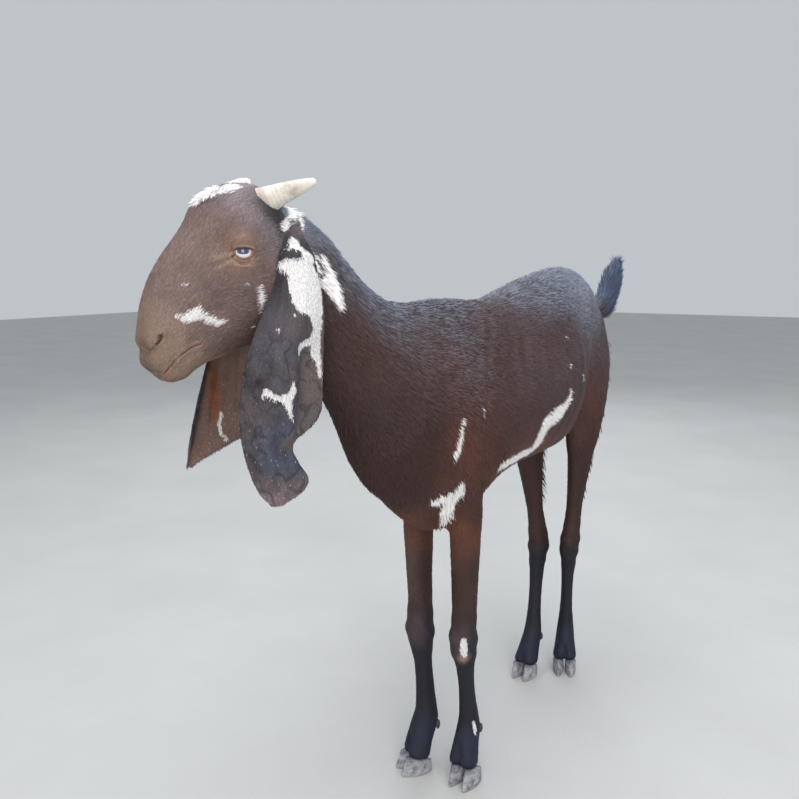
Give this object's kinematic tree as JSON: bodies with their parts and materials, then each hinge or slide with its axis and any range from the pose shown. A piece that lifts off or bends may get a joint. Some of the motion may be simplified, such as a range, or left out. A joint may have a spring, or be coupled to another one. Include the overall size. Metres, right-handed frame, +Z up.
{
  "type": "goat",
  "caption": "Standing long-eared goat with a roman nose, small swept-back horns, drooping ears and a short upright tail; a still life-size display model.",
  "frame": {"origin": "under the middle of the whole body's box, on the floor the hooves stand on", "axes": "+Z up, nose towards -Y, the goat's left side towards +X"},
  "size_m": [0.315, 1.2908, 1.0559],
  "materials": {
    "coat": "short glossy fur",
    "points": "short blue-black fur",
    "ear": "very short fur over skin",
    "horn": "dull ringed horn",
    "hoof": "dull scuffed horn",
    "eye": "wet gloss"
  },
  "bodies": {
    "root": {"trunk": "coat", "neck": "coat", "head": "coat", "tail": "points", "ear_left": "ear", "ear_right": "ear", "eye_left": "eye", "eye_right": "eye", "horn_left": "horn", "horn_right": "horn", "fore_left_upper": "coat", "fore_left_cannon": "points", "fore_left_pastern": "points", "fore_left_hoof_outer": "hoof", "fore_left_hoof_inner": "hoof", "fore_left_dewclaw_outer": "hoof", "fore_left_dewclaw_inner": "hoof", "fore_right_upper": "coat", "fore_right_cannon": "points", "fore_right_pastern": "points", "fore_right_hoof_outer": "hoof", "fore_right_hoof_inner": "hoof", "fore_right_dewclaw_outer": "hoof", "fore_right_dewclaw_inner": "hoof", "hind_left_upper": "coat", "hind_left_cannon": "points", "hind_left_pastern": "points", "hind_left_hoof_outer": "hoof", "hind_left_hoof_inner": "hoof", "hind_left_dewclaw_outer": "hoof", "hind_left_dewclaw_inner": "hoof", "hind_right_upper": "coat", "hind_right_cannon": "points", "hind_right_pastern": "points", "hind_right_hoof_outer": "hoof", "hind_right_hoof_inner": "hoof", "hind_right_dewclaw_outer": "hoof", "hind_right_dewclaw_inner": "hoof"}
  },
  "joints": []
}
